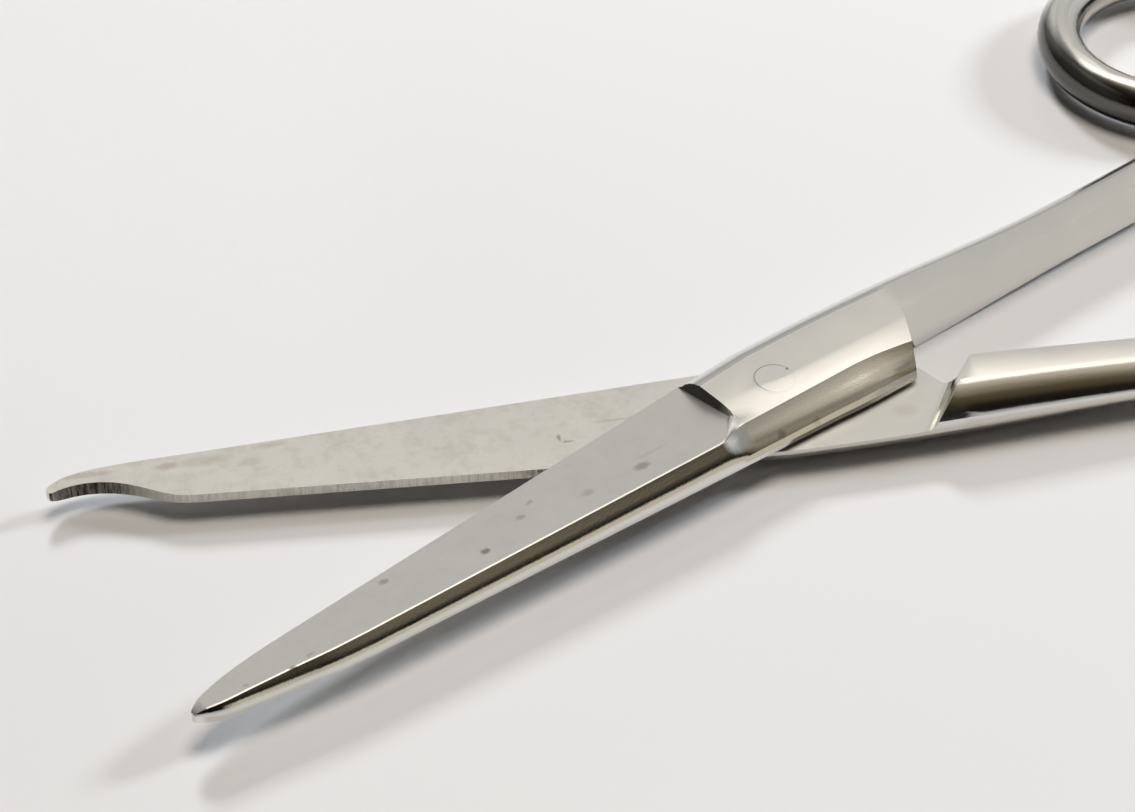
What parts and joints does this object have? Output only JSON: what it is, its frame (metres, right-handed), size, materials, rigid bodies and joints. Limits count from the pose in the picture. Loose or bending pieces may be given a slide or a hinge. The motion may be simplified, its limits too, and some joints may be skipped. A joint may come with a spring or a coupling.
{
  "type": "suture scissors",
  "caption": "Straight steel suture scissors with a hooked lower blade, a blunt upper blade, a lap joint on a flush pin and finger rings.",
  "frame": {"origin": "the pivot axis at the level of the underside of the lower boss, which is the table", "axes": "+X along the line between the two halves, towards the finger rings; +Z along the pivot, up from the table"},
  "size_m": [0.1103, 0.0746, 0.0044],
  "materials": {
    "under_half_steel": "satin ground stainless steel, stained",
    "top_half_steel": "satin ground stainless steel, spotted",
    "pin_steel": "ground flush with the boss"
  },
  "bodies": {
    "under_body": {"under_half": "under_half_steel", "pivot_pin": "pin_steel"},
    "top_body": {"top_half": "top_half_steel"}
  },
  "joints": [
    {"name": "pivot", "type": "hinge", "parent": "under_body", "child": "top_body", "pos_m": [0, 0, 0.0022], "axis": [0, 0, 1], "range_deg": [-27.5, 30]}
  ]
}
